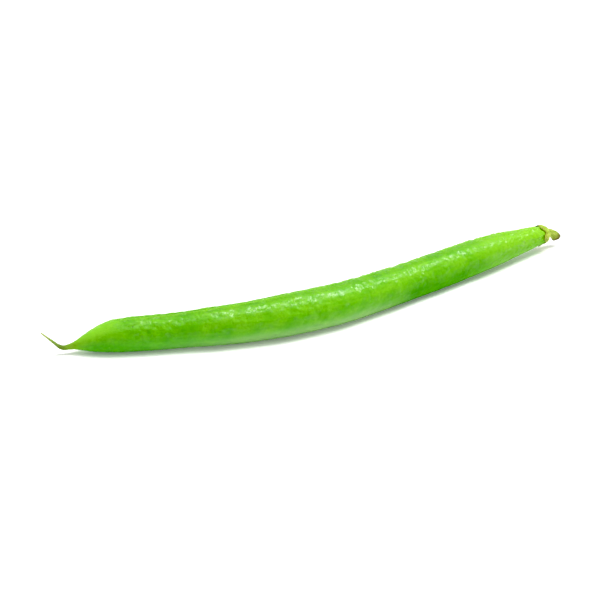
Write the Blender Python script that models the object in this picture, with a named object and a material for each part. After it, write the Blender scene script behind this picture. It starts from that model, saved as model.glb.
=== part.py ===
"""One green bean: the pod with its beak, the withered calyx at its neck and the snapped stem.

Metres, +Z up. The bean lies on a level surface at z = 0, as it comes to rest after picking. Its
beak points to -X and its stem to +X, and the origin is at the bottom centre of its bounding box.
Both seams of the pod lie in the upright plane through its middle line, one on top and one below.
"""

import math

import bmesh
import bpy
from mathutils import Matrix, Vector

# The pod's middle line, seen from above: two nearly straight stretches joined by one slow bend.
POD_LENGTH = 0.1076  # along the middle line, from the root of the beak to the end of the neck
BEND = math.radians(32.0)  # how far the stem end is turned from the beak end
BEND_FROM = 0.017
BEND_TO = 0.067

# Half the pod's height at distances from the root of the beak.
POD_HALF_HEIGHTS = (
    (0.0000, 0.00112),
    (0.0015, 0.00174),
    (0.0040, 0.00260),
    (0.0068, 0.00318),
    (0.0105, 0.00338),
    (0.0190, 0.00353),
    (0.0285, 0.00382),
    (0.0425, 0.00415),
    (0.0570, 0.00398),
    (0.0710, 0.00372),
    (0.0850, 0.00360),
    (0.0935, 0.00328),
    (0.1010, 0.00258),
    (0.1076, 0.00190),
)
POD_WIDTH_TO_HEIGHT = 0.96  # snap beans are nearly round, a little flatter from side to side

# Height of the middle line, less half the pod's height: how far the underside is off the table.
UNDERSIDE_HEIGHTS = (
    (0.0000, 0.00078),
    (0.0015, 0.00055),
    (0.0042, 0.00018),
    (0.0105, -0.00006),
    (0.0740, -0.00006),
    (0.0900, 0.00030),
    (0.1076, 0.00144),
)

# Seeds swell the pod's two cheeks, not its seams.
SEED_COUNT = 7
FIRST_SEED = 0.0150
SEED_PITCH = 0.0125
SEED_HALF_LENGTH = 0.0050
SEED_SWELLING = 0.00012

# The beak, the dried remains of the style, droops at its root and turns up at a kink.
BEAK_LENGTH = 0.0083
BEAK_RADIUS = 0.00042
BEAK_TIP_RADIUS = 0.00016
BEAK_TAPER = 1.2  # above 1 it keeps its thickness at first and thins towards the tip
BEAK_FLARE = 0.0013  # how soon the pod's end has narrowed to the beak
BEAK_DROOP = math.radians(12.0)
BEAK_KINK_FROM = 0.0020  # from the root of the beak
BEAK_KINK_TO = 0.0044
BEAK_KINK = math.radians(54.0)
BEAK_SQUARE_FROM = 0.0015  # from here on its sections stand square to its middle line

# The calyx, a small withered collar behind the neck.
GAP = 0.0003  # between one piece and the next
CALYX_LENGTH = 0.0018
CALYX_RADIUS = 0.00188
CALYX_BACK_RADIUS = 0.00125
CALYX_LOBES = 5
CALYX_LOBE_DEPTH = 0.00012

# The stem, snapped off short and bent down.
STEM_LENGTH = 0.0026
STEM_RADIUS = 0.00085
STEM_END_RADIUS = 0.00098
STEM_SWELLS_FROM = 0.4  # as a share of its length
STEM_BEND = math.radians(62.0)
STEM_TURN = math.radians(-14.0)  # sideways, to the outside of the pod's curve

# Facets
POD_SIDES = 24  # the half-side turn in turn_ring gives the underside a facet to rest on
SMALL_SIDES = 20
CALYX_RINGS = 5
STEM_RINGS = 6
CENTRELINE_STEP = 0.0005
BEAK_LINE_STEP = 0.0001
SHARP_EDGE = math.radians(50.0)

# Rings of the beak and the pod, (from, to, spacing): closer together where the form turns fast.
POD_RINGS = (
    (-BEAK_LENGTH, 0.0, 0.0007),
    (0.0, 0.0120, 0.0010),
    (0.0120, 0.0940, 0.0024),
    (0.0940, POD_LENGTH, 0.0018),
)

# Colour and roughness.
POD_LOOK = ((0.16, 0.42, 0.01), 0.42)
CALYX_LOOK = ((0.42, 0.50, 0.08), 0.65)
STEM_LOOK = ((0.26, 0.30, 0.05), 0.70)


def clear_scene():
    for thing in list(bpy.data.objects):
        bpy.data.objects.remove(thing, do_unlink=True)


def ease(value, low, high):
    """0 below low, 1 above high and a smooth step between them."""
    t = min(max((value - low) / (high - low), 0.0), 1.0)
    return t * t * (3.0 - 2.0 * t)


def along(stations, distance):
    """A smooth curve through (distance, value) stations that never overshoots them."""
    if distance <= stations[0][0]:
        return stations[0][1]
    if distance >= stations[-1][0]:
        return stations[-1][1]
    slopes = [
        (stations[i + 1][1] - stations[i][1]) / (stations[i + 1][0] - stations[i][0])
        for i in range(len(stations) - 1)
    ]
    i = max(k for k in range(len(slopes)) if stations[k][0] <= distance)

    def tangent(k):
        if k == 0 or k == len(slopes):
            return slopes[min(k, len(slopes) - 1)]
        if slopes[k - 1] * slopes[k] <= 0.0:
            return 0.0
        return 2.0 * slopes[k - 1] * slopes[k] / (slopes[k - 1] + slopes[k])

    step = stations[i + 1][0] - stations[i][0]
    t = (distance - stations[i][0]) / step
    low, high = stations[i][1], stations[i + 1][1]
    rise = step * ((1 - t) ** 2 * t * tangent(i) - (1 - t) * t * t * tangent(i + 1))
    return low + (high - low) * t * t * (3.0 - 2.0 * t) + rise


def heading(distance):
    return BEND * ease(distance, BEND_FROM, BEND_TO)


def middle_line_points():
    """Points of the pod's middle line from above, one per CENTRELINE_STEP, starting at (0, 0)."""
    points = [Vector((0.0, 0.0))]
    for i in range(round(POD_LENGTH / CENTRELINE_STEP)):
        angle = heading((i + 0.5) * CENTRELINE_STEP)
        points.append(points[-1] + CENTRELINE_STEP * Vector((math.cos(angle), math.sin(angle))))
    return points


MIDDLE_LINE = middle_line_points()
CHORD_ANGLE = math.atan2(MIDDLE_LINE[-1].y, MIDDLE_LINE[-1].x)


def middle_line(distance):
    """Plan position and heading at a distance along the pod, with the chord along +X."""
    place = min(max(distance / CENTRELINE_STEP, 0.0), len(MIDDLE_LINE) - 1.001)
    i = int(place)
    point = MIDDLE_LINE[i].lerp(MIDDLE_LINE[i + 1], place - i)
    turn = Matrix.Rotation(-CHORD_ANGLE, 2)
    return turn @ point, heading(distance) - CHORD_ANGLE


def middle_height(distance):
    return along(POD_HALF_HEIGHTS, distance) + along(UNDERSIDE_HEIGHTS, distance)


def seed_swelling(distance):
    total = 0.0
    for i in range(SEED_COUNT):
        t = (distance - FIRST_SEED - i * SEED_PITCH) / SEED_HALF_LENGTH
        if abs(t) < 1.0:
            total += SEED_SWELLING * math.cos(0.5 * math.pi * t) ** 2
    return total


def pod_surface(distance, angle):
    """The pod's skin: angle 0 is its left cheek and a quarter turn is its top seam."""
    point, direction = middle_line(distance)
    half_height = along(POD_HALF_HEIGHTS, distance)
    half_width = half_height * POD_WIDTH_TO_HEIGHT + seed_swelling(distance)
    sideways = half_width * math.cos(angle)
    height = middle_height(distance) + half_height * math.sin(angle)
    return Vector((
        point.x - sideways * math.sin(direction),
        point.y + sideways * math.cos(direction),
        max(height, 0.0),
    ))


def beak_pitch(distance):
    return BEAK_KINK * ease(distance, BEAK_KINK_FROM, BEAK_KINK_TO) - BEAK_DROOP


def beak_surface(distance, angle):
    """The beak's skin, at a distance from its root towards its tip."""
    back = 0.0
    up = 0.0
    for i in range(round(distance / BEAK_LINE_STEP)):
        pitch = beak_pitch((i + 0.5) * BEAK_LINE_STEP)
        back += BEAK_LINE_STEP * math.cos(pitch)
        up += BEAK_LINE_STEP * math.sin(pitch)
    tilt = beak_pitch(distance) * ease(distance, 0.0, BEAK_SQUARE_FROM)
    radius = BEAK_RADIUS + (BEAK_TIP_RADIUS - BEAK_RADIUS) * (distance / BEAK_LENGTH) ** BEAK_TAPER
    radius += (POD_HALF_HEIGHTS[0][1] - BEAK_RADIUS) * math.exp(-distance / BEAK_FLARE)
    point, direction = middle_line(0.0)
    sideways = radius * POD_WIDTH_TO_HEIGHT * math.cos(angle)
    outwards = radius * math.sin(angle)
    back -= outwards * math.sin(tilt)
    return Vector((
        point.x - back * math.cos(direction) - sideways * math.sin(direction),
        point.y - back * math.sin(direction) + sideways * math.cos(direction),
        middle_height(0.0) + up + outwards * math.cos(tilt),
    ))


def spaced(start, stop, step):
    count = max(1, round((stop - start) / step))
    return [start + (stop - start) * i / count for i in range(count + 1)]


def straight_tube(bm, places, sides):
    """A capped tube of unit radius along +X with a ring of points at each place."""
    turn_ring = Matrix.Rotation(math.pi / 2, 4, "Y") @ Matrix.Rotation(math.pi / sides, 4, "Z")
    start = bmesh.ops.create_circle(
        bm, cap_ends=False, segments=sides, radius=1.0, matrix=turn_ring
    )
    bmesh.ops.translate(bm, verts=start["verts"], vec=(places[0], 0.0, 0.0))
    edges = list(bm.edges)
    for i in range(1, len(places)):
        grown = bmesh.ops.extrude_edge_only(bm, edges=edges)["geom"]
        verts = [item for item in grown if isinstance(item, bmesh.types.BMVert)]
        edges = [item for item in grown if isinstance(item, bmesh.types.BMEdge)]
        bmesh.ops.translate(bm, verts=verts, vec=(places[i] - places[i - 1], 0.0, 0.0))
    bmesh.ops.holes_fill(bm, edges=bm.edges, sides=0)
    bmesh.ops.recalc_face_normals(bm, faces=bm.faces)


def add_piece(name, bm, look):
    colour, roughness = look
    bmesh.ops.recalc_face_normals(bm, faces=bm.faces)
    mesh = bpy.data.meshes.new(name)
    bm.to_mesh(mesh)
    bm.free()
    mesh.shade_smooth()
    mesh.set_sharp_from_angle(angle=SHARP_EDGE)
    material = bpy.data.materials.new(name + "_material")
    material.use_nodes = True
    shader = material.node_tree.nodes["Principled BSDF"]
    shader.inputs["Base Color"].default_value = (*colour, 1.0)
    shader.inputs["Roughness"].default_value = roughness
    shader.inputs["Metallic"].default_value = 0.0
    mesh.materials.append(material)
    piece = bpy.data.objects.new(name, mesh)
    bpy.context.scene.collection.objects.link(piece)
    return piece


def make_pod():
    """The pod and its beak, which grew as one piece."""
    places = []
    for start, stop, spacing in POD_RINGS:
        places += spaced(start, stop, spacing)[:-1]
    places.append(POD_LENGTH)
    bm = bmesh.new()
    straight_tube(bm, places, POD_SIDES)
    for vert in bm.verts:
        distance = vert.co.x
        angle = math.atan2(vert.co.z, vert.co.y)
        if distance < 0.0:
            vert.co = beak_surface(-distance, angle)
        else:
            vert.co = pod_surface(distance, angle)
    return add_piece("pod", bm, POD_LOOK)


def place_at_neck(piece, behind, pitch=0.0, turn=0.0):
    """Puts a piece that was made along +X on the pod's axis, a distance behind the neck."""
    point, direction = middle_line(POD_LENGTH)
    piece.location = (
        point.x + behind * math.cos(direction),
        point.y + behind * math.sin(direction),
        middle_height(POD_LENGTH),
    )
    piece.rotation_euler = (0.0, pitch, direction + turn)


def make_calyx():
    """The withered collar: five short lobes run together, narrowing to the stem."""
    bm = bmesh.new()
    straight_tube(bm, spaced(0.0, 1.0, 1.0 / CALYX_RINGS), SMALL_SIDES)
    for vert in bm.verts:
        t = vert.co.x
        angle = math.atan2(vert.co.z, vert.co.y)
        full = CALYX_BACK_RADIUS + (CALYX_RADIUS - CALYX_BACK_RADIUS) * math.cos(0.5 * math.pi * t)
        radius = full - CALYX_LOBE_DEPTH * (1.0 - t) * (1.0 + math.cos(CALYX_LOBES * angle))
        vert.co = (CALYX_LENGTH * t, radius * math.cos(angle), radius * math.sin(angle))
    calyx = add_piece("calyx", bm, CALYX_LOOK)
    place_at_neck(calyx, GAP)
    return calyx


def make_stem():
    """The snapped stem: it bends over as it leaves the calyx and swells at the break."""
    bm = bmesh.new()
    straight_tube(bm, spaced(0.0, 1.0, 1.0 / STEM_RINGS), SMALL_SIDES)
    for vert in bm.verts:
        t = vert.co.x
        radius = STEM_RADIUS + (STEM_END_RADIUS - STEM_RADIUS) * ease(t, STEM_SWELLS_FROM, 1.0)
        bend = STEM_BEND * t
        reach = STEM_LENGTH * math.sin(bend) / STEM_BEND
        drop = STEM_LENGTH * (1.0 - math.cos(bend)) / STEM_BEND
        sideways = radius * vert.co.y
        outwards = radius * vert.co.z
        vert.co = (
            reach + outwards * math.sin(bend),
            sideways,
            outwards * math.cos(bend) - drop,
        )
    stem = add_piece("stem", bm, STEM_LOOK)
    place_at_neck(stem, GAP + CALYX_LENGTH + GAP, turn=STEM_TURN)
    return stem


def stand_on_origin(pieces):
    """Holds the pieces on one empty, with the bottom centre of their box at the origin."""
    bpy.context.view_layer.update()
    corners = [piece.matrix_world @ vert.co for piece in pieces for vert in piece.data.vertices]
    low = [min(corner[axis] for corner in corners) for axis in range(3)]
    high = [max(corner[axis] for corner in corners) for axis in range(3)]
    bean = bpy.data.objects.new("bean", None)
    bpy.context.scene.collection.objects.link(bean)
    for piece in pieces:
        piece.parent = bean
    bean.location = (-(low[0] + high[0]) / 2.0, -(low[1] + high[1]) / 2.0, -low[2])


clear_scene()
stand_on_origin([make_pod(), make_calyx(), make_stem()])
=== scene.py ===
"""The finish of one green bean: its pod with the beak, the withered calyx and the snapped stem.

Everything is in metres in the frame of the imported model: +X from the beak to the stem, +Z up.
"""

import functools
import math

import bmesh
import bpy
from mathutils import Matrix, Vector, noise


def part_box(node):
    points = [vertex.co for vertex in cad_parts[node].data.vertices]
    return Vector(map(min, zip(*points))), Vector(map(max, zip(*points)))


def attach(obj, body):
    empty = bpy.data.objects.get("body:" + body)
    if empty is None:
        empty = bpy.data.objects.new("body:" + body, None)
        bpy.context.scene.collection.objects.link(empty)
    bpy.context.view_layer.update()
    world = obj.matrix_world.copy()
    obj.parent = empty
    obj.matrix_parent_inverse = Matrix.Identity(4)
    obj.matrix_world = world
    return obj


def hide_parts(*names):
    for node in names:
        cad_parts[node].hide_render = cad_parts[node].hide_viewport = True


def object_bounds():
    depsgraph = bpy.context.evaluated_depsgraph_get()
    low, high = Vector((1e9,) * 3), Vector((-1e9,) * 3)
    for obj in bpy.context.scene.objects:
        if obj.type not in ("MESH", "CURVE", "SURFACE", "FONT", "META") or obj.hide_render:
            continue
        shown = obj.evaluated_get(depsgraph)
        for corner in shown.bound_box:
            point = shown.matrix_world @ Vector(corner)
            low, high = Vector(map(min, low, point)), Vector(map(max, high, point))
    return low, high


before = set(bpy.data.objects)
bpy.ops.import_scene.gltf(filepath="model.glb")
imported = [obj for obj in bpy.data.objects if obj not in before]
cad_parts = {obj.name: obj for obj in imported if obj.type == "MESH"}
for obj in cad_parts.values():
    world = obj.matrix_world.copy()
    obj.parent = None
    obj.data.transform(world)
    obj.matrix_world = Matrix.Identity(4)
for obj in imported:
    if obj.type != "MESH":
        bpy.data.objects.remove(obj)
cad_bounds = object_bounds()

# ---------------------------------------------------------------------------------------------
# The pod
# A bean pod is a fleshy tube that grew in one piece with its beak, the dried end of the flower.
# Its waxy skin swells over the seeds, is drawn in along two seams, one above and one below, and
# puckers at the neck. It is modelled straight, as a fine tube, and then bent the way it grew.
# ---------------------------------------------------------------------------------------------

MM = 0.001
POD_LENGTH = 107.6 * MM  # along the middle line, from the root of the beak to the end of the neck
POD_BEND = math.radians(32.0)
POD_BEND_FROM = 17.0 * MM
POD_BEND_TO = 67.0 * MM
POD_WIDTH_TO_HEIGHT = 0.96
POD_SIDES = 128
POD_RINGS = 620

# Half the pod's height at distances from the root of the beak.
POD_HALF_HEIGHTS = (
    (0.0 * MM, 1.12 * MM),
    (1.5 * MM, 1.74 * MM),
    (4.0 * MM, 2.60 * MM),
    (6.8 * MM, 3.18 * MM),
    (10.5 * MM, 3.38 * MM),
    (19.0 * MM, 3.53 * MM),
    (28.5 * MM, 3.82 * MM),
    (42.5 * MM, 4.15 * MM),
    (57.0 * MM, 3.98 * MM),
    (71.0 * MM, 3.72 * MM),
    (85.0 * MM, 3.60 * MM),
    (93.5 * MM, 3.28 * MM),
    (101.0 * MM, 2.58 * MM),
    (107.6 * MM, 1.90 * MM),
)
# How far the pod's underside is off the table. Below zero it presses on the table and is flat.
POD_UNDERSIDE = (
    (0.0 * MM, 0.78 * MM),
    (1.5 * MM, 0.55 * MM),
    (4.2 * MM, 0.18 * MM),
    (10.5 * MM, -0.06 * MM),
    (74.0 * MM, -0.06 * MM),
    (90.0 * MM, 0.30 * MM),
    (107.6 * MM, 1.44 * MM),
)

# Seeds, from the beak: how far along, and how much each lifts the two cheeks.
SEEDS = (
    (15.2 * MM, 0.13 * MM),
    (27.0 * MM, 0.17 * MM),
    (39.8 * MM, 0.15 * MM),
    (52.6 * MM, 0.19 * MM),
    (64.4 * MM, 0.15 * MM),
    (77.6 * MM, 0.20 * MM),
    (90.2 * MM, 0.16 * MM),
)
SEED_REACH = 3.08 * MM  # how soon a seed's swelling dies away along the pod
SEED_ROUNDNESS = 1.4  # above 1 the swelling keeps closer to the middle of the cheeks

BEAK_LENGTH = 8.3 * MM
BEAK_DROOP = math.radians(12.0)  # at its root, where it goes on down from the pod's middle line
BEAK_KINK = math.radians(54.0)
BEAK_KINK_FROM = 2.0 * MM
BEAK_KINK_TO = 4.4 * MM
BEAK_RADIUS = 0.42 * MM
BEAK_TIP_RADIUS = 0.13 * MM
BEAK_TAPER = 1.2  # above 1 it keeps its thickness at first and thins towards the tip
BEAK_FLARE = 1.3 * MM  # how soon the pod's end has narrowed to the beak
BEAK_SQUARE_FROM = 1.5 * MM  # from here on its sections stand square to its middle line
BEAK_KNOT_AT = 3.4 * MM  # a slight thickening at the kink
BEAK_KNOT_LENGTH = 0.9 * MM
BEAK_KNOT_LIFT = 0.05 * MM
BEAK_SHRIVEL = 0.10  # how far its three dried ridges rise, as a share of its radius
BEAK_SHRIVEL_TURN = 600.0  # in radians to a metre, because the ridges wind round it
BEAK_RIPPLE = 0.12
BEAK_RIPPLES_PER_METRE = 1500.0
BEAK_SWAY = 0.25 * MM
BEAK_SWAYS_FROM = 3.0 * MM
BEAK_LINE_STEP = 0.05 * MM

SEAM_TWIST = math.radians(-24.0)  # how far the seams have turned by the stem end
SEAM_TWISTED_BY = 0.75 * POD_LENGTH
SEAM_WANDER = 0.05  # in radians, to and fro along the pod
SEAM_WANDERS_PER_METRE = 70.0
UPPER_SEAM = (0.5 * math.pi, 1.0)  # its place round the section and how deep it is
LOWER_SEAM = (-0.5 * math.pi, 0.6)
SEAM_GROOVE = 0.11 * MM
SEAM_GROOVE_WIDTH = 0.20 * MM
SEAM_LIP = 0.07 * MM
SEAM_LIP_WIDTH = 0.34 * MM
SEAM_LIP_FROM_GROOVE = 0.48 * MM
SEAM_STARTS = 2.0 * MM
SEAM_FULL = 13.0 * MM

# How the skin is uneven: how far it lifts, and how many waves or cells there are to a metre.
# A bare number in a noise's place only picks the part of the noise that is used.
SLOW_LIFT = 0.10 * MM
SLOW_WAVES_ALONG = 75.0
SLOW_WAVES_ROUND = 160.0
QUICK_LIFT = 0.045 * MM
QUICK_WAVES = 480.0
QUICK_PLACE = Vector((5.0, 1.0, 2.0))
DOME_LIFT = 0.320 * MM
DOME_CELLS = 900.0
DOME_EDGE = 0.3  # the squared distance from a dome's top where the skin is level
DOME_SHAKE = 0.35  # how far the domes' tops are moved off their even places
SHAKE_PARTS = (Vector((17.3, 0.0, 5.1)), Vector((0.0, 41.7, 9.4)), Vector((23.9, 3.2, 73.1)))
DOME_USUAL = 0.65  # how high a dome usually is, as a share, and how far that varies in patches
DOME_VARIES = 0.7
DOME_PATCHES = 210.0
DOMES_UNDERNEATH = 0.40  # as a share of their height on the upper side
DOMES_LOW_TO_FULL = (-0.4, 0.5)  # sines of the angle round the section

PUCKER_FROM = 96.0 * MM  # the neck's folds, from here on
FOLDS = 7
FOLD_LIFT = 0.07 * MM
FOLD_WAVES = 200.0
FOLD_WANDER = 2.0  # in radians
CREASES = 13
CREASE_LIFT = 0.03 * MM
CREASE_TURN = 1.1


def ease(value, low, high):
    """0 below low, 1 above high and a smooth step between them."""
    t = min(max((value - low) / (high - low), 0.0), 1.0)
    return t * t * (3.0 - 2.0 * t)


def hump(distance, width):
    """1 at no distance, dying away to nothing over about twice the width."""
    return math.exp(-((distance / width) ** 2))


def along(stations, distance):
    """A smooth curve through (distance, value) stations that never overshoots them."""
    if distance <= stations[0][0]:
        return stations[0][1]
    if distance >= stations[-1][0]:
        return stations[-1][1]
    slopes = [
        (stations[i + 1][1] - stations[i][1]) / (stations[i + 1][0] - stations[i][0])
        for i in range(len(stations) - 1)
    ]
    i = max(k for k in range(len(slopes)) if stations[k][0] <= distance)

    def tangent(k):
        if k == 0 or k == len(slopes):
            return slopes[min(k, len(slopes) - 1)]
        if slopes[k - 1] * slopes[k] <= 0.0:
            return 0.0
        return 2.0 * slopes[k - 1] * slopes[k] / (slopes[k - 1] + slopes[k])

    step = stations[i + 1][0] - stations[i][0]
    t = (distance - stations[i][0]) / step
    low, high = stations[i][1], stations[i + 1][1]
    rise = step * ((1 - t) ** 2 * t * tangent(i) - (1 - t) * t * t * tangent(i + 1))
    return low + (high - low) * t * t * (3.0 - 2.0 * t) + rise


def middle_line_points(step):
    """Points of the pod's middle line from above, one to a step, starting at (0, 0)."""
    points = [Vector((0.0, 0.0))]
    for i in range(round(POD_LENGTH / step)):
        angle = POD_BEND * ease((i + 0.5) * step, POD_BEND_FROM, POD_BEND_TO)
        points.append(points[-1] + step * Vector((math.cos(angle), math.sin(angle))))
    return points


MIDDLE_LINE_STEP = 0.2 * MM
MIDDLE_LINE = middle_line_points(MIDDLE_LINE_STEP)
MIDDLE_LINE_END = len(MIDDLE_LINE) - 1.001  # just short of its last point
CHORD_ANGLE = math.atan2(MIDDLE_LINE[-1].y, MIDDLE_LINE[-1].x)


@functools.lru_cache(maxsize=None)
def pod_ring(distance):
    """Place, direction and sizes of the pod's section at a distance from the root of the beak."""
    place = min(max(distance / MIDDLE_LINE_STEP, 0.0), MIDDLE_LINE_END)
    i = int(place)
    point = MIDDLE_LINE[i].lerp(MIDDLE_LINE[i + 1], place - i)
    point = Matrix.Rotation(-CHORD_ANGLE, 2) @ point
    direction = POD_BEND * ease(distance, POD_BEND_FROM, POD_BEND_TO) - CHORD_ANGLE
    half_height = along(POD_HALF_HEIGHTS, distance)
    height = half_height + along(POD_UNDERSIDE, distance)
    swelling = sum(lift * hump(distance - seed, SEED_REACH) for seed, lift in SEEDS)
    twist = SEAM_TWIST * ease(distance, 0.0, SEAM_TWISTED_BY)
    twist += SEAM_WANDER * noise.noise(Vector((distance * SEAM_WANDERS_PER_METRE, 3.7, 0.0)))
    return point, direction, half_height, height, swelling, twist


def seam_offset(angle, seam_angle, radius):
    """Distance around the skin from a seam."""
    turn = (angle - seam_angle + math.pi) % (2.0 * math.pi) - math.pi
    return turn * radius


def shaken(place):
    """Noise in three directions at once, from three parts of the noise that are far apart."""
    return Vector([noise.noise(place + part) for part in SHAKE_PARTS])


def unevenness(grown, angle):
    """Slow and quick waves in the skin, and low round domes that are flatter underneath."""
    slow = grown * Vector((SLOW_WAVES_ALONG, SLOW_WAVES_ROUND, SLOW_WAVES_ROUND))
    lift = SLOW_LIFT * noise.noise(slow)
    lift += QUICK_LIFT * noise.noise(grown * QUICK_WAVES + QUICK_PLACE)
    spot = grown * DOME_CELLS
    spot += DOME_SHAKE * shaken(grown * DOME_CELLS)
    from_dome = noise.voronoi(spot)[0][0]
    height = DOME_USUAL + DOME_VARIES * noise.noise(grown * DOME_PATCHES)
    upper = ease(math.sin(angle), *DOMES_LOW_TO_FULL)
    height *= DOMES_UNDERNEATH + (1.0 - DOMES_UNDERNEATH) * upper
    return lift + DOME_LIFT * height * (DOME_EDGE - from_dome * from_dome)


def neck_folds(distance, angle):
    """Folds and fine creases that gather the skin into the calyx."""
    pucker = ease(distance, PUCKER_FROM, POD_LENGTH)
    wander = FOLD_WANDER * noise.noise(Vector((distance * FOLD_WAVES, 0.0, 8.0)))
    folds = FOLD_LIFT * math.cos(FOLDS * angle + wander)
    return pucker * (folds + CREASE_LIFT * math.cos(CREASES * angle + CREASE_TURN))


def pod_relief(distance, angle):
    """What lifts or sinks the skin, with how deep in a seam's groove and how far up its lips."""
    _, _, half_height, _, swelling, twist = pod_ring(distance)
    grown = Vector((distance, half_height * math.cos(angle), half_height * math.sin(angle)))
    lift = swelling * abs(math.cos(angle - twist)) ** SEED_ROUNDNESS
    lift += unevenness(grown, angle)
    groove = 0.0
    lip = 0.0
    shape = ease(distance, SEAM_STARTS, SEAM_FULL)
    for seam_angle, depth in (UPPER_SEAM, LOWER_SEAM):
        across = abs(seam_offset(angle, seam_angle + twist, half_height))
        groove += depth * shape * hump(across, SEAM_GROOVE_WIDTH)
        lip += depth * shape * hump(across - SEAM_LIP_FROM_GROOVE, SEAM_LIP_WIDTH)
    lift += SEAM_LIP * lip - SEAM_GROOVE * groove
    lift += neck_folds(distance, angle)
    lift *= ease(distance, 0.0, SEAM_STARTS)
    return lift, grown, groove, lip


def pod_skin_point(distance, angle):
    point, direction, half_height, height, _, _ = pod_ring(distance)
    lift, grown, groove, lip = pod_relief(distance, angle)
    sideways = (half_height * POD_WIDTH_TO_HEIGHT + lift) * math.cos(angle)
    upwards = (half_height + lift) * math.sin(angle)
    place = Vector((
        point.x - sideways * math.sin(direction),
        point.y + sideways * math.cos(direction),
        max(height + upwards, 0.0),
    ))
    return place, grown, groove, lip


def beak_pitch(distance):
    """How steeply the beak climbs; it droops from the pod's middle line and then kinks upwards."""
    return BEAK_KINK * ease(distance, BEAK_KINK_FROM, BEAK_KINK_TO) - BEAK_DROOP


@functools.lru_cache(maxsize=None)
def beak_ring(distance):
    """How far back and up the beak has run, its section's tilt and radius, from its root on."""
    back = 0.0
    up = 0.0
    for i in range(round(distance / BEAK_LINE_STEP)):
        pitch = beak_pitch((i + 0.5) * BEAK_LINE_STEP)
        back += BEAK_LINE_STEP * math.cos(pitch)
        up += BEAK_LINE_STEP * math.sin(pitch)
    tilt = beak_pitch(distance) * ease(distance, 0.0, BEAK_SQUARE_FROM)
    radius = BEAK_RADIUS + (BEAK_TIP_RADIUS - BEAK_RADIUS) * (distance / BEAK_LENGTH) ** BEAK_TAPER
    radius += (POD_HALF_HEIGHTS[0][1] - BEAK_RADIUS) * math.exp(-distance / BEAK_FLARE)
    radius += BEAK_KNOT_LIFT * hump(distance - BEAK_KNOT_AT, BEAK_KNOT_LENGTH)
    return back, up, tilt, radius


def beak_point(distance, angle):
    back, up, tilt, radius = beak_ring(distance)
    point, direction, _, height, _, _ = pod_ring(0.0)
    ridges = math.cos(3.0 * angle + BEAK_SHRIVEL_TURN * distance)
    ripple = noise.noise(Vector((distance * BEAK_RIPPLES_PER_METRE, math.cos(angle), math.sin(angle))))
    shrivel = 1.0 + BEAK_SHRIVEL * ridges * ease(distance, 0.0, BEAK_KINK_FROM)
    shrivel += BEAK_RIPPLE * ripple * ease(distance, 0.0, BEAK_SQUARE_FROM)
    radius *= shrivel
    sideways = radius * POD_WIDTH_TO_HEIGHT * math.cos(angle)
    outwards = radius * math.sin(angle)
    back -= outwards * math.sin(tilt)
    sideways += BEAK_SWAY * ease(distance, BEAK_SWAYS_FROM, BEAK_LENGTH)
    place = Vector((
        point.x - back * math.cos(direction) - sideways * math.sin(direction),
        point.y - back * math.sin(direction) + sideways * math.cos(direction),
        height + up + outwards * math.cos(tilt),
    ))
    grown = Vector((-distance, radius * math.cos(angle), radius * math.sin(angle)))
    return place, grown, 0.0, 0.0


def straight_tube(bm, start, stop, rings, sides):
    """A closed tube of unit radius along X, cut into evenly spaced rings between two poles."""
    bmesh.ops.create_cone(
        bm, cap_ends=False, segments=sides, radius1=1.0, radius2=1.0, depth=1.0,
        matrix=Matrix.Rotation(math.pi / 2.0, 4, "Y"),
    )
    lengthwise = [edge for edge in bm.edges if not edge.is_boundary]
    bmesh.ops.subdivide_edges(bm, edges=lengthwise, cuts=rings - 1, use_grid_fill=True)
    for end in (-0.5, 0.5):
        rim = [edge for edge in bm.edges if edge.is_boundary and edge.verts[0].co.x * end > 0.0]
        cap = bmesh.ops.extrude_edge_only(bm, edges=rim)["geom"]
        pole = [item for item in cap if isinstance(item, bmesh.types.BMVert)]
        bmesh.ops.pointmerge(bm, verts=pole, merge_co=(end, 0.0, 0.0))
    bmesh.ops.scale(bm, verts=bm.verts, vec=(stop - start, 1.0, 1.0))
    bmesh.ops.translate(bm, verts=bm.verts, vec=((start + stop) / 2.0, 0.0, 0.0))


def shape_tube(bm, surface_point):
    """Moves each point of a straight tube to its place on the skin.

    surface_point(place, angle) gives the place, where it was before bending, and two masks. A
    pole keeps a zero radius, so it goes to the middle of the ring that it closes.
    """
    grown_layer = bm.verts.layers.float_vector.new("grown")
    groove_layer = bm.verts.layers.float.new("groove")
    lip_layer = bm.verts.layers.float.new("lip")
    poles = []
    for vert in bm.verts:
        place = round(vert.co.x, 7)
        if vert.co.yz.length < 0.5:
            poles.append(vert)
            continue
        angle = math.atan2(vert.co.z, vert.co.y)
        vert.co, grown, vert[groove_layer], vert[lip_layer] = surface_point(place, angle)
        vert[grown_layer] = grown / MM
    for pole in poles:
        neighbours = [edge.other_vert(pole) for edge in pole.link_edges]
        count = len(neighbours)
        pole.co = sum((vert.co for vert in neighbours), Vector()) / count
        pole[grown_layer] = sum((vert[grown_layer] for vert in neighbours), Vector()) / count


def add_piece(name, bm, material):
    bmesh.ops.recalc_face_normals(bm, faces=bm.faces)
    mesh = bpy.data.meshes.new(name)
    bm.to_mesh(mesh)
    bm.free()
    mesh.shade_smooth()
    mesh.materials.append(material)
    piece = bpy.data.objects.new(name, mesh)
    bpy.context.scene.collection.objects.link(piece)
    return piece


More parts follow.
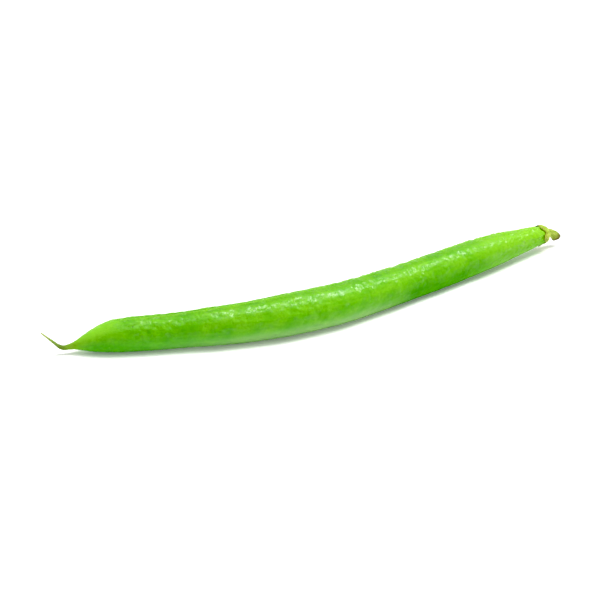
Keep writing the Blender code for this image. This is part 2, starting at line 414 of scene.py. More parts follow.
def new_group(name, inputs, outputs):
    """An empty shader node group with its sockets; inputs are (name, kind, default)."""
    group = bpy.data.node_groups.new(name, "ShaderNodeTree")
    for label, kind, default in inputs:
        socket = group.interface.new_socket(label, in_out="INPUT", socket_type=kind)
        if default is not None:
            socket.default_value = default
    for label, kind in outputs:
        group.interface.new_socket(label, in_out="OUTPUT", socket_type=kind)
    ends = group.nodes.new("NodeGroupInput"), group.nodes.new("NodeGroupOutput")
    return group, ends[0], ends[1]


def ramp(tree, place, stops):
    """A colour that changes through (position, colour) stops as place goes from 0 to 1."""
    node = tree.nodes.new("ShaderNodeValToRGB")
    node.color_ramp.interpolation = "EASE"
    elements = node.color_ramp.elements
    while len(elements) < len(stops):
        elements.new(0.5)
    for element, (position, colour) in zip(elements, stops):
        element.position = position
        element.color = (*colour, 1.0)
    tree.links.new(place, node.inputs["Fac"])
    return node.outputs["Color"]


def span(tree, value, low, high):
    """A 0 to 1 mask as value goes from low to high."""
    node = tree.nodes.new("ShaderNodeMapRange")
    node.interpolation_type = "SMOOTHSTEP"
    node.inputs["From Min"].default_value = low
    node.inputs["From Max"].default_value = high
    tree.links.new(value, node.inputs["Value"])
    return node.outputs["Result"]


def blended(tree, factor, first, second, share=1.0, how="MIX"):
    """A colour mix. first and second are colours or sockets; share scales the factor."""
    node = tree.nodes.new("ShaderNodeMix")
    node.data_type = "RGBA"
    node.blend_type = how
    scale = tree.nodes.new("ShaderNodeMath")
    scale.operation = "MULTIPLY"
    scale.inputs[1].default_value = share
    tree.links.new(factor, scale.inputs[0])
    tree.links.new(scale.outputs[0], node.inputs[0])
    for value, socket in ((first, node.inputs[6]), (second, node.inputs[7])):
        if isinstance(value, tuple):
            socket.default_value = (*value, 1.0)
        else:
            tree.links.new(value, socket)
    return node.outputs[2]


def math_node(tree, operation, first, second):
    node = tree.nodes.new("ShaderNodeMath")
    node.operation = operation
    for value, socket in ((first, node.inputs[0]), (second, node.inputs[1])):
        if isinstance(value, float):
            socket.default_value = value
        else:
            tree.links.new(value, socket)
    return node.outputs[0]


def product(tree, first, second):
    return math_node(tree, "MULTIPLY", first, second)


def scaled(tree, value, by, plus):
    return math_node(tree, "ADD", product(tree, value, by), plus)


def noise_node(tree, vector, scale, detail, roughness, distortion=0.0):
    node = tree.nodes.new("ShaderNodeTexNoise")
    node.inputs["Scale"].default_value = scale
    node.inputs["Detail"].default_value = detail
    node.inputs["Roughness"].default_value = roughness
    node.inputs["Distortion"].default_value = distortion
    tree.links.new(vector, node.inputs["Vector"])
    return node.outputs["Fac"]


def lengthened(tree, grown, squeeze):
    """Coordinates squeezed along X, which draws a pattern out along the piece."""
    stretch = tree.nodes.new("ShaderNodeMapping")
    stretch.inputs["Scale"].default_value = (squeeze, 1.0, 1.0)
    tree.links.new(grown, stretch.inputs["Vector"])
    return stretch.outputs["Vector"]


def make_plant_mottle():
    """Uneven growth: cloudy patches, streaks along the length and fine grain, for all pieces.

    The vector is in millimetres along X and around it, as the piece was before it bent.
    """
    group, start, end = new_group(
        "plant_mottle",
        (("Grown", "NodeSocketVector", None),),
        (("Patches", "NodeSocketFloat"), ("Streaks", "NodeSocketFloat"), ("Grain", "NodeSocketFloat")),
    )
    grown = start.outputs["Grown"]
    drawn_out = lengthened(group, grown, 0.10)
    patches = noise_node(group, grown, scale=0.28, detail=4.0, roughness=0.55, distortion=0.4)
    streaks = noise_node(group, drawn_out, scale=1.6, detail=3.0, roughness=0.6)
    grain = noise_node(group, grown, scale=2.6, detail=3.0, roughness=0.6)
    group.links.new(span(group, patches, low=0.34, high=0.66), end.inputs["Patches"])
    group.links.new(span(group, streaks, low=0.36, high=0.64), end.inputs["Streaks"])
    group.links.new(span(group, grain, low=0.32, high=0.68), end.inputs["Grain"])
    return group


SMALLEST_SPECK = 0.02  # as a share of its cell
SPECK_EDGE = (0.55, 1.0)  # how far out in a speck it starts to fade, and has faded


def make_plant_specks():
    """Small round marks, such as breathing pores and scars; only some cells hold one."""
    group, start, end = new_group(
        "plant_specks",
        (
            ("Grown", "NodeSocketVector", None),
            ("Density", "NodeSocketFloat", 0.5),
            ("Radius", "NodeSocketFloat", 0.1),
            ("Share", "NodeSocketFloat", 0.3),
        ),
        (("Mark", "NodeSocketFloat"),),
    )
    cells = group.nodes.new("ShaderNodeTexVoronoi")
    cells.feature = "F1"
    group.links.new(start.outputs["Grown"], cells.inputs["Vector"])
    group.links.new(start.outputs["Density"], cells.inputs["Scale"])
    parts = group.nodes.new("ShaderNodeSeparateColor")
    group.links.new(cells.outputs["Color"], parts.inputs["Color"])
    chosen = math_node(group, "LESS_THAN", parts.outputs["Red"], start.outputs["Share"])
    size = product(group, parts.outputs["Green"], start.outputs["Radius"])
    size = math_node(group, "ADD", size, SMALLEST_SPECK)
    outwards = math_node(group, "DIVIDE", cells.outputs["Distance"], size)
    mark = math_node(group, "SUBTRACT", 1.0, span(group, outwards, *SPECK_EDGE))
    group.links.new(product(group, mark, chosen), end.inputs["Mark"])
    return group


plant_mottle = make_plant_mottle()
plant_specks = make_plant_specks()


def new_plant_material(name):
    """A material with its shader, the straightened coordinates and the shared mottling."""
    material = bpy.data.materials.new(name)
    material.use_nodes = True
    tree = material.node_tree
    shader = tree.nodes["Principled BSDF"]
    grown = tree.nodes.new("ShaderNodeAttribute")
    grown.attribute_name = "grown"
    mottle = tree.nodes.new("ShaderNodeGroup")
    mottle.node_tree = plant_mottle
    tree.links.new(grown.outputs["Vector"], mottle.inputs["Grown"])
    return material, tree, shader, grown.outputs["Vector"], mottle


def specks(tree, vector, density, radius, share):
    """Cells to a millimetre, the largest radius in a cell, and the share of cells with a speck."""
    node = tree.nodes.new("ShaderNodeGroup")
    node.node_tree = plant_specks
    node.inputs["Density"].default_value = density
    node.inputs["Radius"].default_value = radius
    node.inputs["Share"].default_value = share
    tree.links.new(vector, node.inputs["Grown"])
    return node.outputs["Mark"]


def mask_attribute(tree, name):
    node = tree.nodes.new("ShaderNodeAttribute")
    node.attribute_name = name
    return node.outputs["Fac"]


def bumped(tree, shader, height, distance):
    bump = tree.nodes.new("ShaderNodeBump")
    bump.inputs["Distance"].default_value = distance
    tree.links.new(height, bump.inputs["Height"])
    tree.links.new(bump.outputs["Normal"], shader.inputs["Normal"])


def height_round_section(tree, grown):
    """1 on the pod's upper side, 0 half way down and -1 underneath."""
    across = tree.nodes.new("ShaderNodeVectorMath")
    across.operation = "MULTIPLY"
    across.inputs[1].default_value = (0.0, 1.0, 1.0)
    tree.links.new(grown, across.inputs[0])
    unit = tree.nodes.new("ShaderNodeVectorMath")
    unit.operation = "NORMALIZE"
    tree.links.new(across.outputs["Vector"], unit.inputs[0])
    split = tree.nodes.new("ShaderNodeSeparateXYZ")
    tree.links.new(unit.outputs["Vector"], split.inputs[0])
    return split.outputs["Z"]


# The skin's colours. A layer is its colour, its strength, and MULTIPLY where it darkens what is there.
DEEPER_GREEN = (0.112, 0.410, 0.012)
FRESHER_GREEN = (0.182, 0.490, 0.020)
STREAKS = ((0.240, 0.560, 0.028), 0.35)
GRAIN = ((0.095, 0.355, 0.010), 0.40)
SMUDGES = ((0.66, 0.86, 0.70), 0.55, "MULTIPLY")
# Painted shade that darkens a narrow strip along the pod's top.
TOP_PAINTED_SHADE = ((0.72, 0.78, 0.55), 0.75, "MULTIPLY")
# Painted shade on the underside, strongest towards the beak, partly also the skin's own deeper green
# there.
UNDERSIDE_SHADE = ((0.52, 0.90, 0.80), 0.60, "MULTIPLY")
# Painted reflection of the white table: a pale, bluish band low on the middle of the pod.
BELLY_REFLECTION = ((0.360, 0.520, 0.260), 0.45)
SEAM_GREEN = ((0.040, 0.220, 0.002), 0.75)
LIP_GREEN = ((0.260, 0.600, 0.030), 0.40)
PALE_DOTS = ((0.300, 0.620, 0.050), 0.40)
DARK_MARKS = ((0.050, 0.130, 0.010), 0.75)
PALE_NECK = ((0.270, 0.580, 0.025), 0.60)
# Painted shade on the underside towards the stem: darker and much less blue. Its mask also dulls the
# gloss there.
STEM_SIDE_SHADE = ((0.46, 0.74, 0.15), 1.00, "MULTIPLY")
# Painted highlight on the upper slope of the pod's end by the beak.
SHOULDER_HIGHLIGHT = ((0.270, 0.660, 0.038), 0.60)
TAIL_GREEN = ((0.210, 0.480, 0.030), 0.45)
BEAK_COLOURS = (
    (0.0, (0.200, 0.460, 0.020)),
    (0.22, (0.220, 0.400, 0.040)),
    (0.45, (0.150, 0.240, 0.035)),
    (0.78, (0.220, 0.330, 0.070)),
    (1.0, (0.360, 0.420, 0.140)),
)

# Where a layer starts and is full, in millimetres along the pod from the root of the beak.
TOP_SHADE_ALONG = (4.0, 16.0)
UNDERSIDE_SHADE_ALONG = (44.0, 10.0)
DULL_SHADE_ALONG = (54.0, 72.0)
LESS_DULL_SHADE_ALONG = (80.0, 96.0)
REFLECTION_FRONT_ALONG = (6.0, 38.0)
REFLECTION_BACK_ALONG = (74.0, 60.0)
NECK_ALONG = (76.0, 107.0)
SHOULDER_HIGHLIGHT_ALONG = (10.0, 3.0)
TAIL_ALONG = (3.0, 0.2)
BEAK_ALONG = (1.0, -8.3)
DRIED_ALONG = (0.8, -1.2)
POLISHED_ALONG = (-6.0, 30.0)

# The same round the section, where 1 is the top, 0 is half way down and -1 is underneath.
TOP_SHADE_ROUND = (0.91, 0.985)
UNDERSIDE_ROUND = (0.75, -0.35)
REFLECTION_ROUND = (-0.05, -0.60)
SHOULDER_HIGHLIGHT_ROUND = (0.20, 0.95)

UNDERSIDE_SHADE_EVERYWHERE = 0.35  # how much of the underside's painted shade is left towards the stem
DULL_SHADE_LOST = 0.55  # how much less painted shade and dulling the underside has at the neck
PALE_DOT_SIZES = (1.1, 0.16, 0.55)  # cells to a millimetre, largest radius, share of cells
DARK_MARK_SIZES = (0.22, 0.055, 0.55)

BARE_ROUGHNESS = 0.46
WAXED_ROUGHNESS = 0.28
DRY_ROUGHER = 0.3
DULL_ROUGHER = 0.3
UNDERSIDE_DULLNESS = 0.40
WAX_ON_BLOOM = 0.56
WAX_EVERYWHERE = 0.06
WAX_UNPOLISHED = 0.25

PEBBLE_HEIGHT = 1.10
CELL_HEIGHT = 0.22
MARK_DEPTH = 0.4
UNDERSIDE_SMOOTHNESS = 0.65
SKIN_BUMP = 0.10 * MM


def pod_masks(tree, distance, round_section):
    """Where the pod's own layers lie, from its length and from its height round the section."""
    underside = span(tree, round_section, *UNDERSIDE_ROUND)
    # How far along the underside's painted shade reaches; it is strongest towards the beak.
    deeper = span(tree, distance, *UNDERSIDE_SHADE_ALONG)
    deeper = math_node(tree, "ADD", deeper, UNDERSIDE_SHADE_EVERYWHERE)
    # The underside towards the stem: painted shade in the colour, and a duller gloss.
    dull_shade = product(tree, underside, span(tree, distance, *DULL_SHADE_ALONG))
    neck_kept = scaled(tree, span(tree, distance, *LESS_DULL_SHADE_ALONG), -DULL_SHADE_LOST, 1.0)
    # Where the painted shade along the top lies.
    top_painted_shade = span(tree, round_section, *TOP_SHADE_ROUND)
    # Where the painted reflection of the table lies on the lower flank.
    belly_reflection = span(tree, round_section, *REFLECTION_ROUND)
    belly_reflection = product(tree, belly_reflection, span(tree, distance, *REFLECTION_FRONT_ALONG))
    # Where the painted highlight on the upper slope by the beak lies.
    shoulder_highlight = span(tree, round_section, *SHOULDER_HIGHLIGHT_ROUND)
    return {
        "underside": underside,
        "underside_shade": product(tree, underside, deeper),
        "dull_shade": product(tree, dull_shade, neck_kept),
        "top_painted_shade": product(tree, top_painted_shade, span(tree, distance, *TOP_SHADE_ALONG)),
        "belly_reflection": product(tree, belly_reflection, span(tree, distance, *REFLECTION_BACK_ALONG)),
        "shoulder_highlight": product(tree, shoulder_highlight, span(tree, distance, *SHOULDER_HIGHLIGHT_ALONG)),
        "neck": span(tree, distance, *NECK_ALONG),
        "tail": span(tree, distance, *TAIL_ALONG),
        "dried": span(tree, distance, *DRIED_ALONG),
    }


def pod_colour(tree, grown, distance, mottle, masks, dark_marks):
    """The greens of the skin in layers, with the beak's dried colours over them."""
    smudges = noise_node(tree, grown, scale=0.15, detail=3.0, roughness=0.6, distortion=0.5)
    smudges = span(tree, smudges, low=0.50, high=0.64)
    pale_dots = specks(tree, grown, *PALE_DOT_SIZES)
    colour = blended(tree, mottle.outputs["Patches"], DEEPER_GREEN, FRESHER_GREEN)
    for mask, layer in (
        (mottle.outputs["Streaks"], STREAKS),
        (mottle.outputs["Grain"], GRAIN),
        (smudges, SMUDGES),
        # painted shade along the top
        (masks["top_painted_shade"], TOP_PAINTED_SHADE),
        # painted shade on the underside
        (masks["underside_shade"], UNDERSIDE_SHADE),
        # painted reflection of the table
        (masks["belly_reflection"], BELLY_REFLECTION),
        (mask_attribute(tree, "groove"), SEAM_GREEN),
        (mask_attribute(tree, "lip"), LIP_GREEN),
        (pale_dots, PALE_DOTS),
        (dark_marks, DARK_MARKS),
        (masks["neck"], PALE_NECK),
        # painted shade on the underside towards the stem
        (masks["dull_shade"], STEM_SIDE_SHADE),
        # painted highlight on the upper slope by the beak
        (masks["shoulder_highlight"], SHOULDER_HIGHLIGHT),
        (masks["tail"], TAIL_GREEN),
    ):
        colour = blended(tree, mask, colour, *layer)
    beak = ramp(tree, span(tree, distance, *BEAK_ALONG), BEAK_COLOURS)
    return blended(tree, masks["dried"], colour, beak)


def pod_gloss(tree, grown, distance, masks):
    """Roughness and wax: glossy in blooms, dull on the dried beak and the underside, most towards the
    stem.
    """
    bloom = noise_node(tree, grown, scale=1.5, detail=4.0, roughness=0.75)
    bloom = span(tree, bloom, low=0.45, high=0.58)
    polished = noise_node(tree, grown, scale=0.24, detail=3.0, roughness=0.65)
    polished = span(tree, polished, low=0.40, high=0.56)
    polished = product(tree, polished, span(tree, distance, *POLISHED_ALONG))
    dulled = product(tree, masks["underside"], UNDERSIDE_DULLNESS)
    dulled = math_node(tree, "MAXIMUM", masks["dull_shade"], dulled)

    roughness = scaled(tree, bloom, WAXED_ROUGHNESS - BARE_ROUGHNESS, BARE_ROUGHNESS)
    roughness = math_node(tree, "ADD", roughness, product(tree, masks["dried"], DRY_ROUGHER))
    roughness = math_node(tree, "ADD", roughness, product(tree, dulled, DULL_ROUGHER))

    wax = scaled(tree, bloom, WAX_ON_BLOOM, WAX_EVERYWHERE)
    wax = product(tree, wax, math_node(tree, "ADD", polished, WAX_UNPOLISHED))
    wax = product(tree, wax, math_node(tree, "SUBTRACT", 1.0, masks["dried"]))
    wax = product(tree, wax, math_node(tree, "SUBTRACT", 1.0, dulled))
    return roughness, wax


def pod_texture(tree, grown, masks, dark_marks):
    """Fine pebbles and cells, with the dark marks sunk in, smoother on the underside."""
    pebbles = noise_node(tree, grown, scale=2.0, detail=2.0, roughness=0.6)
    cells = noise_node(tree, grown, scale=5.0, detail=2.0, roughness=0.6)
    height = product(tree, pebbles, PEBBLE_HEIGHT)
    height = math_node(tree, "ADD", height, product(tree, cells, CELL_HEIGHT))
    height = math_node(tree, "SUBTRACT", height, product(tree, dark_marks, MARK_DEPTH))
    return product(tree, height, scaled(tree, masks["underside"], -UNDERSIDE_SMOOTHNESS, 1.0))


def make_pod_skin():
    """Moist, waxy green skin: glossy, faintly pebbled, darker in the seams, dried on the beak."""
    material, tree, shader, grown, mottle = new_plant_material("pod_skin")
    split = tree.nodes.new("ShaderNodeSeparateXYZ")
    tree.links.new(grown, split.inputs[0])
    distance = split.outputs["X"]
    masks = pod_masks(tree, distance, height_round_section(tree, grown))
    dark_marks = specks(tree, grown, *DARK_MARK_SIZES)

    colour = pod_colour(tree, grown, distance, mottle, masks, dark_marks)
    roughness, wax = pod_gloss(tree, grown, distance, masks)
    tree.links.new(colour, shader.inputs["Base Color"])
    tree.links.new(roughness, shader.inputs["Roughness"])
    tree.links.new(wax, shader.inputs["Coat Weight"])
    bumped(tree, shader, pod_texture(tree, grown, masks, dark_marks), SKIN_BUMP)

    shader.inputs["Specular IOR Level"].default_value = 0.13
    shader.inputs["Coat Roughness"].default_value = 0.08
    shader.inputs["Subsurface Weight"].default_value = 0.20
    shader.inputs["Subsurface Radius"].default_value = (0.7, 1.0, 0.2)
    shader.inputs["Subsurface Scale"].default_value = 0.8 * MM
    return material


def pod_or_beak_point(distance, angle):
    if distance < 0.0:
        return beak_point(-distance, angle)
    return pod_skin_point(distance, angle)


pod_bm = bmesh.new()
straight_tube(pod_bm, -BEAK_LENGTH, POD_LENGTH, POD_RINGS, POD_SIDES)
shape_tube(pod_bm, pod_or_beak_point)

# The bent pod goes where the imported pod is: the middles of their boxes meet.
pod_low, pod_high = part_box("pod")
made_low = [min(vert.co[axis] for vert in pod_bm.verts) for axis in range(2)]
made_high = [max(vert.co[axis] for vert in pod_bm.verts) for axis in range(2)]
pod_place = Vector((
    (pod_low.x + pod_high.x - made_low[0] - made_high[0]) / 2.0,
    (pod_low.y + pod_high.y - made_low[1] - made_high[1]) / 2.0,
    0.0,
))
bmesh.ops.translate(pod_bm, verts=pod_bm.verts, vec=pod_place)
pod = add_piece("green_pod", pod_bm, make_pod_skin())
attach(pod, "root")
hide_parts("pod")

# ---------------------------------------------------------------------------------------------
# The calyx
# The calyx is what is left of the flower's cup: a thin collar of five run-together sepals that
# dries yellow and brown once the pod has grown. It is a cup, drawn in to the stem behind, whose
# short teeth still clasp the pod's neck.
# ---------------------------------------------------------------------------------------------

CALYX_SIDES = 100
CALYX_RINGS = 48
CALYX_RUN = 2.0  # out from the stem to the teeth, and back inside
CALYX_TEETH = 5
CALYX_TOOTH_LENGTH = 1.0 * MM
CALYX_TOOTH_USUAL = 0.75  # its usual share of that length, and how far the teeth differ
CALYX_TOOTH_VARIES = 0.35
CALYX_TOOTH_FLARE = 0.22 * MM
CALYX_TOOTH_SHARPNESS = 1.2
CALYX_TEETH_FROM = 0.70  # where along the run the cup starts to part into teeth
CALYX_WALL = 0.14 * MM
CALYX_WALL_FULL = 1.12  # where along the run the wall has its thickness, just inside the rim
CALYX_RIBS = 10  # one to a tooth and one between each two
CALYX_RIB_HEIGHT = 0.05 * MM
CALYX_RIBS_RISE = (0.1, 0.6)
CALYX_RUFFLE = 0.10 * MM
CALYX_RUFFLES_ROUND = 2.6
CALYX_WRINKLE = 0.05 * MM
CALYX_WRINKLES_ROUND = 4.0
CALYX_WRINKLES_PER_METRE = 1500.0
# Its half outline, from the stem to the foot of the teeth: (distance behind the neck, radius)
CALYX_OUTLINE = (
    (0.00, (2.05 * MM, 0.80 * MM)),
    (0.20, (1.75 * MM, 1.12 * MM)),
    (0.45, (1.25 * MM, 1.62 * MM)),
    (0.70, (0.55 * MM, 1.95 * MM)),
    (1.00, (-0.20 * MM, 2.03 * MM)),
)


def neck_frame():
    """A matrix that puts +X along the pod's axis at the end of its neck."""
    point, direction, _, height, _, _ = pod_ring(POD_LENGTH)
    place = Vector((point.x, point.y, height)) + pod_place
    return Matrix.Translation(place) @ Matrix.Rotation(direction, 4, "Z")


neck = neck_frame()


def tooth(angle):
    """0 between two teeth and 1 at a tooth's point; the teeth differ in length."""
    turn = (angle / (2.0 * math.pi) * CALYX_TEETH) % 1.0
    number = math.floor(angle / (2.0 * math.pi) * CALYX_TEETH)
    varied = noise.noise(Vector((number * 3.1, 0.5, 0.2)))
    length = CALYX_TOOTH_USUAL + CALYX_TOOTH_VARIES * varied
    return length * (1.0 - abs(2.0 * turn - 1.0)) ** CALYX_TOOTH_SHARPNESS


def calyx_point(place, angle):
    """Place runs 0 to 1 from the stem to the teeth outside, and 1 to 2 back again inside."""
    outwards = place if place <= 1.0 else CALYX_RUN - place
    back = along([(at, pair[0]) for at, pair in CALYX_OUTLINE], outwards)
    radius = along([(at, pair[1]) for at, pair in CALYX_OUTLINE], outwards)
    reach = ease(outwards, CALYX_TEETH_FROM, 1.0)
    back -= reach * CALYX_TOOTH_LENGTH * tooth(angle)
    across = Vector((math.cos(angle), math.sin(angle))) * CALYX_RUFFLES_ROUND
    ruffle = noise.noise(Vector((across.x, across.y, outwards * 2.0)))
    radius += reach * (CALYX_RUFFLE * ruffle + CALYX_TOOTH_FLARE * tooth(angle) ** 2)
    radius += CALYX_RIB_HEIGHT * math.cos(CALYX_RIBS * angle) * ease(outwards, *CALYX_RIBS_RISE)
    across = Vector((math.cos(angle), math.sin(angle))) * CALYX_WRINKLES_ROUND
    wrinkle = noise.noise(Vector((back * CALYX_WRINKLES_PER_METRE, across.x, across.y)))
    radius += CALYX_WRINKLE * wrinkle
    if place > 1.0:
        radius -= CALYX_WALL * ease(place, 1.0, CALYX_WALL_FULL)
    grown = Vector((back, radius * math.cos(angle), radius * math.sin(angle)))
    return neck @ grown, grown, 0.0, reach


CALYX_GREEN = (0.300, 0.480, 0.030)
CALYX_YELLOW = (0.440, 0.560, 0.070)
CALYX_VEINS = ((0.200, 0.320, 0.025), 0.50)
CALYX_BROWN_TEETH = ((0.230, 0.190, 0.035), 0.50)
CALYX_SPOTS = ((0.070, 0.045, 0.015), 0.7)
CALYX_SPOT_SIZES = (2.2, 0.35, 0.35)
CALYX_BUMP = 0.10 * MM


def make_withered_calyx():
    """Papery and dull: yellow-green by the stem, dried brown at the points of the teeth."""
    material, tree, shader, grown, mottle = new_plant_material("withered_calyx")
    veins = noise_node(tree, grown, scale=3.5, detail=2.0, roughness=0.6)
    veins = span(tree, veins, low=0.45, high=0.62)
    colour = blended(tree, mottle.outputs["Patches"], CALYX_GREEN, CALYX_YELLOW)
    colour = blended(tree, veins, colour, *CALYX_VEINS)
    colour = blended(tree, mask_attribute(tree, "lip"), colour, *CALYX_BROWN_TEETH)
    colour = blended(tree, specks(tree, grown, *CALYX_SPOT_SIZES), colour, *CALYX_SPOTS)
    tree.links.new(colour, shader.inputs["Base Color"])
    grain = noise_node(tree, grown, scale=6.0, detail=3.0, roughness=0.7)
    bumped(tree, shader, grain, CALYX_BUMP)
    shader.inputs["Roughness"].default_value = 0.62
    shader.inputs["Specular IOR Level"].default_value = 0.30
    shader.inputs["Subsurface Weight"].default_value = 0.15
    shader.inputs["Subsurface Radius"].default_value = (1.0, 0.8, 0.3)
    shader.inputs["Subsurface Scale"].default_value = 0.4 * MM
    return material


calyx_bm = bmesh.new()
straight_tube(calyx_bm, 0.0, CALYX_RUN, CALYX_RINGS, CALYX_SIDES)
shape_tube(calyx_bm, calyx_point)
calyx = add_piece("calyx_collar", calyx_bm, make_withered_calyx())
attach(calyx, "root")
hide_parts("calyx")

# ---------------------------------------------------------------------------------------------
# The stem
# The stem is the flower stalk, a ribbed fibrous cord that snapped close to the calyx when the
# bean was picked. It is bent over, swollen a little at the joint where it broke, and its broken
# end has dried dark brown, with torn fibres round a hollow.
# ---------------------------------------------------------------------------------------------

STEM_SIDES = 80
STEM_RINGS = 56
STEM_RUN = 1.96  # along the stem, and in over the break almost to its middle
STEM_LENGTH = 3.1 * MM
STEM_FROM = 1.55 * MM  # behind the neck, inside the calyx's narrow end
STEM_BEND = math.radians(62.0)
STEM_TURN = math.radians(-14.0)
STEM_RADIUS = 0.80 * MM
STEM_END_RADIUS = 0.96 * MM
STEM_SWELLS = (0.45, 0.9)  # where along the stem it thickens
STEM_DRIES_FROM = 0.55
STEM_RIBS = 6
STEM_RIB_HEIGHT = 0.06  # as a share of its radius
STEM_FIBRE_HEIGHT = 0.07 * MM
STEM_FIBRES_ROUND = 3.0
BREAK_ROUNDING = 1.2
BREAK_TORN_FROM = 0.85
BREAK_TORN_LENGTH = 0.26 * MM
BREAK_TORN_PER_METRE = 3500.0
BREAK_TORN_ROUND = 4.5
BREAK_HOLLOW_DEPTH = 0.45 * MM
BREAK_HOLLOWS = (0.15, 0.9)  # how far in from the rim it starts to sink, and is deepest


def stem_point(place, angle):
    """Place runs 0 to 1 along the stem, and 1 to 2 from the rim of the broken end to its middle."""
    t = min(place, 1.0)
    inwards = max(place - 1.0, 0.0)
    radius = STEM_RADIUS + (STEM_END_RADIUS - STEM_RADIUS) * ease(t, *STEM_SWELLS)
    radius *= 1.0 + STEM_RIB_HEIGHT * math.cos(STEM_RIBS * angle) * (1.0 - inwards)
    across = Vector((math.cos(angle), math.sin(angle))) * STEM_FIBRES_ROUND
    radius += STEM_FIBRE_HEIGHT * noise.noise(Vector((9.0 + t * 3.0, across.x, across.y)))
    radius *= 1.0 - inwards ** BREAK_ROUNDING
    across = Vector((math.cos(angle), math.sin(angle))) * BREAK_TORN_ROUND
    torn = noise.noise(Vector((radius * BREAK_TORN_PER_METRE, across.x, across.y)))
    length = STEM_LENGTH * t + ease(t, BREAK_TORN_FROM, 1.0) * BREAK_TORN_LENGTH * torn
    length -= BREAK_HOLLOW_DEPTH * ease(inwards, *BREAK_HOLLOWS)
    bend = STEM_BEND * length / STEM_LENGTH
    reach = STEM_LENGTH * math.sin(bend) / STEM_BEND
    drop = STEM_LENGTH * (1.0 - math.cos(bend)) / STEM_BEND
    sideways = radius * math.cos(angle)
    outwards = radius * math.sin(angle)
    local = Vector((
        reach + outwards * math.sin(bend),
        sideways,
        outwards * math.cos(bend) - drop,
    ))
    turned = Matrix.Rotation(STEM_TURN, 4, "Z") @ local
    grown = Vector((length, sideways, outwards))
    spot = neck @ (turned + Vector((STEM_FROM, 0.0, 0.0)))
    return spot, grown, inwards, ease(t, STEM_DRIES_FROM, 1.0)


STEM_GREEN = (0.270, 0.430, 0.035)
STEM_FIBRE_PALE = (0.480, 0.580, 0.110)
STEM_DRIED = ((0.110, 0.075, 0.018), 0.92)
STEM_HOLLOW_DARK = ((0.030, 0.018, 0.006), 1.0)
STEM_GRAIN = ((0.090, 0.070, 0.020), 0.25)
STEM_BUMP = 0.14 * MM


def make_snapped_stem():
    """Pale green and fibrous, drying to brown at the break, nearly black in its hollow."""
    material, tree, shader, grown, mottle = new_plant_material("snapped_stem")
    drawn_out = lengthened(tree, grown, 0.15)
    fibres = noise_node(tree, drawn_out, scale=7.0, detail=3.0, roughness=0.6)
    pale = span(tree, fibres, low=0.35, high=0.65)
    hollow = span(tree, mask_attribute(tree, "groove"), low=0.1, high=0.8)
    colour = blended(tree, pale, STEM_GREEN, STEM_FIBRE_PALE)
    colour = blended(tree, mask_attribute(tree, "lip"), colour, *STEM_DRIED)
    colour = blended(tree, hollow, colour, *STEM_HOLLOW_DARK)
    colour = blended(tree, mottle.outputs["Grain"], colour, *STEM_GRAIN)
    tree.links.new(colour, shader.inputs["Base Color"])
    bumped(tree, shader, fibres, STEM_BUMP)
    shader.inputs["Roughness"].default_value = 0.70
    shader.inputs["Specular IOR Level"].default_value = 0.25
    return material


stem_bm = bmesh.new()
straight_tube(stem_bm, 0.0, STEM_RUN, STEM_RINGS, STEM_SIDES)
shape_tube(stem_bm, stem_point)
stem = add_piece("stem_stub", stem_bm, make_snapped_stem())
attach(stem, "root")
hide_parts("stem")

# ---------------------------------------------------------------------------------------------
# The studio
# A seamless white table in a bright white room, under one broad overhead softbox and a long strip
# light that stands nearer to the stem, so that the shadow is narrow and soft. The camera looks
# down along the bean, from the side that its beak points to.
# ---------------------------------------------------------------------------------------------

TABLE_SIZE = 4.0
TABLE_GLOW = 0.16  # how much light the sheet gives near the bean, where the room falls short
TABLE_BLENDS = (0.15, 0.60)  # how far from the bean it starts to meet the room's white, and does


def make_table():
    bm = bmesh.new()
    bmesh.ops.create_grid(bm, x_segments=1, y_segments=1, size=TABLE_SIZE / 2.0)
    material = bpy.data.materials.new("white_table")
    material.use_nodes = True
    shader = material.node_tree.nodes["Principled BSDF"]
    shader.inputs["Base Color"].default_value = (0.90, 0.90, 0.90, 1.0)
    shader.inputs["Roughness"].default_value = 0.6
    shader.inputs["Specular IOR Level"].default_value = 0.2
    shader.inputs["Emission Strength"].default_value = 1.0
    # Away from the bean the sheet is lit from below, so that it meets the white room unseen.
    tree = material.node_tree
    place = tree.nodes.new("ShaderNodeTexCoord")
    away = tree.nodes.new("ShaderNodeVectorMath")
    away.operation = "LENGTH"
    tree.links.new(place.outputs["Object"], away.inputs[0])
    glow = math_node(tree, "MAXIMUM", span(tree, away.outputs["Value"], *TABLE_BLENDS), TABLE_GLOW)
    tree.links.new(glow, shader.inputs["Emission Color"])
    table = add_piece("white_table", bm, material)


ROOM_BRIGHT_SIDE = (-0.20, 0.62, 0.76)  # behind the bean, and above it
ROOM_DIM_TO_BRIGHT = (-0.2, 0.9)  # cosines of the angle to that side


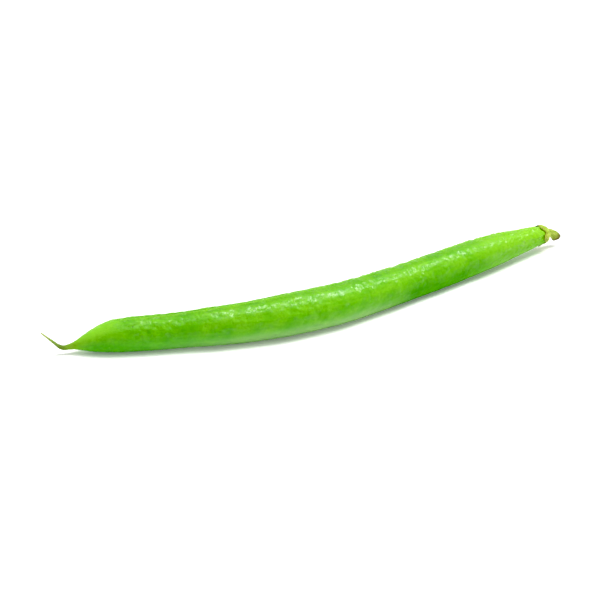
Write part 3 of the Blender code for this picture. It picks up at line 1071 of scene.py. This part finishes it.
def light_room(front, back):
    """A white room, lit from behind and above; the side that the camera stands on stays dim."""
    world = bpy.data.worlds.new("white_room")
    world.use_nodes = True
    tree = world.node_tree
    place = tree.nodes.new("ShaderNodeTexCoord")
    towards_back = tree.nodes.new("ShaderNodeVectorMath")
    towards_back.operation = "DOT_PRODUCT"
    towards_back.inputs[1].default_value = ROOM_BRIGHT_SIDE
    tree.links.new(place.outputs["Generated"], towards_back.inputs[0])
    glow = tree.nodes.new("ShaderNodeMapRange")
    glow.interpolation_type = "SMOOTHSTEP"
    glow.inputs["From Min"].default_value = ROOM_DIM_TO_BRIGHT[0]
    glow.inputs["From Max"].default_value = ROOM_DIM_TO_BRIGHT[1]
    glow.inputs["To Min"].default_value = front
    glow.inputs["To Max"].default_value = back
    tree.links.new(towards_back.outputs["Value"], glow.inputs["Value"])
    ray = tree.nodes.new("ShaderNodeLightPath")
    seen = tree.nodes.new("ShaderNodeMix")
    seen.inputs["B"].default_value = 1.0
    tree.links.new(ray.outputs["Is Camera Ray"], seen.inputs["Factor"])
    tree.links.new(glow.outputs["Result"], seen.inputs["A"])
    background = tree.nodes["Background"]
    background.inputs["Color"].default_value = (1.0, 1.0, 1.0, 1.0)
    tree.links.new(seen.outputs["Result"], background.inputs["Strength"])
    bpy.context.scene.world = world


def add_softbox(name, place, target, size, power):
    """A rectangular light that faces the target; its first size runs along the bean's length."""
    light = bpy.data.lights.new(name, "AREA")
    light.shape = "RECTANGLE"
    light.size, light.size_y = size
    light.energy = power
    backwards = (Vector(place) - target).normalized()
    crosswise = backwards.cross(Vector((1.0, 0.0, 0.0))).normalized()
    lengthwise = crosswise.cross(backwards)
    softbox = bpy.data.objects.new(name, light)
    softbox.location = place
    softbox.rotation_euler = Matrix((lengthwise, crosswise, backwards)).transposed().to_euler()
    bpy.context.scene.collection.objects.link(softbox)


CAMERA_AZIMUTH = math.radians(-29.3)
CAMERA_ELEVATION = math.radians(24.0)
CAMERA_DISTANCE = 0.655
CAMERA_LENS = 200.0
CAMERA_SENSOR = 36.0
CAMERA_AIM = Vector((-0.0068, 0.0, 0.0))  # from the bean's middle to the middle of the picture


def add_camera(target):
    camera = bpy.data.cameras.new("camera")
    camera.lens = CAMERA_LENS
    camera.sensor_width = CAMERA_SENSOR
    view = bpy.data.objects.new("camera", camera)
    towards_camera = Vector((
        math.sin(CAMERA_AZIMUTH) * math.cos(CAMERA_ELEVATION),
        -math.cos(CAMERA_AZIMUTH) * math.cos(CAMERA_ELEVATION),
        math.sin(CAMERA_ELEVATION),
    ))
    view.location = target + CAMERA_DISTANCE * towards_camera
    view.rotation_euler = (view.location - target - CAMERA_AIM).to_track_quat("Z", "Y").to_euler()
    bpy.context.scene.collection.objects.link(view)
    bpy.context.scene.camera = view


PICTURE_BLACK = 0.026  # what is this dark or darker is shown as black


def set_picture_contrast():
    """Plain colours with the deepest shade pulled down to black, which makes the greens deeper."""
    settings = bpy.context.scene.view_settings
    settings.view_transform = "Standard"
    settings.use_curve_mapping = True
    settings.curve_mapping.black_level = (PICTURE_BLACK, PICTURE_BLACK, PICTURE_BLACK)


bean_low, bean_high = cad_bounds
bean_middle = (bean_low + bean_high) / 2.0
make_table()
light_room(front=0.28, back=0.75)
add_softbox(
    "overhead_softbox", place=(0.06, -0.06, 0.66), target=bean_middle, size=(0.80, 0.60), power=2.5
)
add_softbox("strip_light", place=(0.27, -0.05, 0.55), target=bean_middle, size=(0.62, 0.25), power=3.4)
add_camera(bean_middle)
set_picture_contrast()
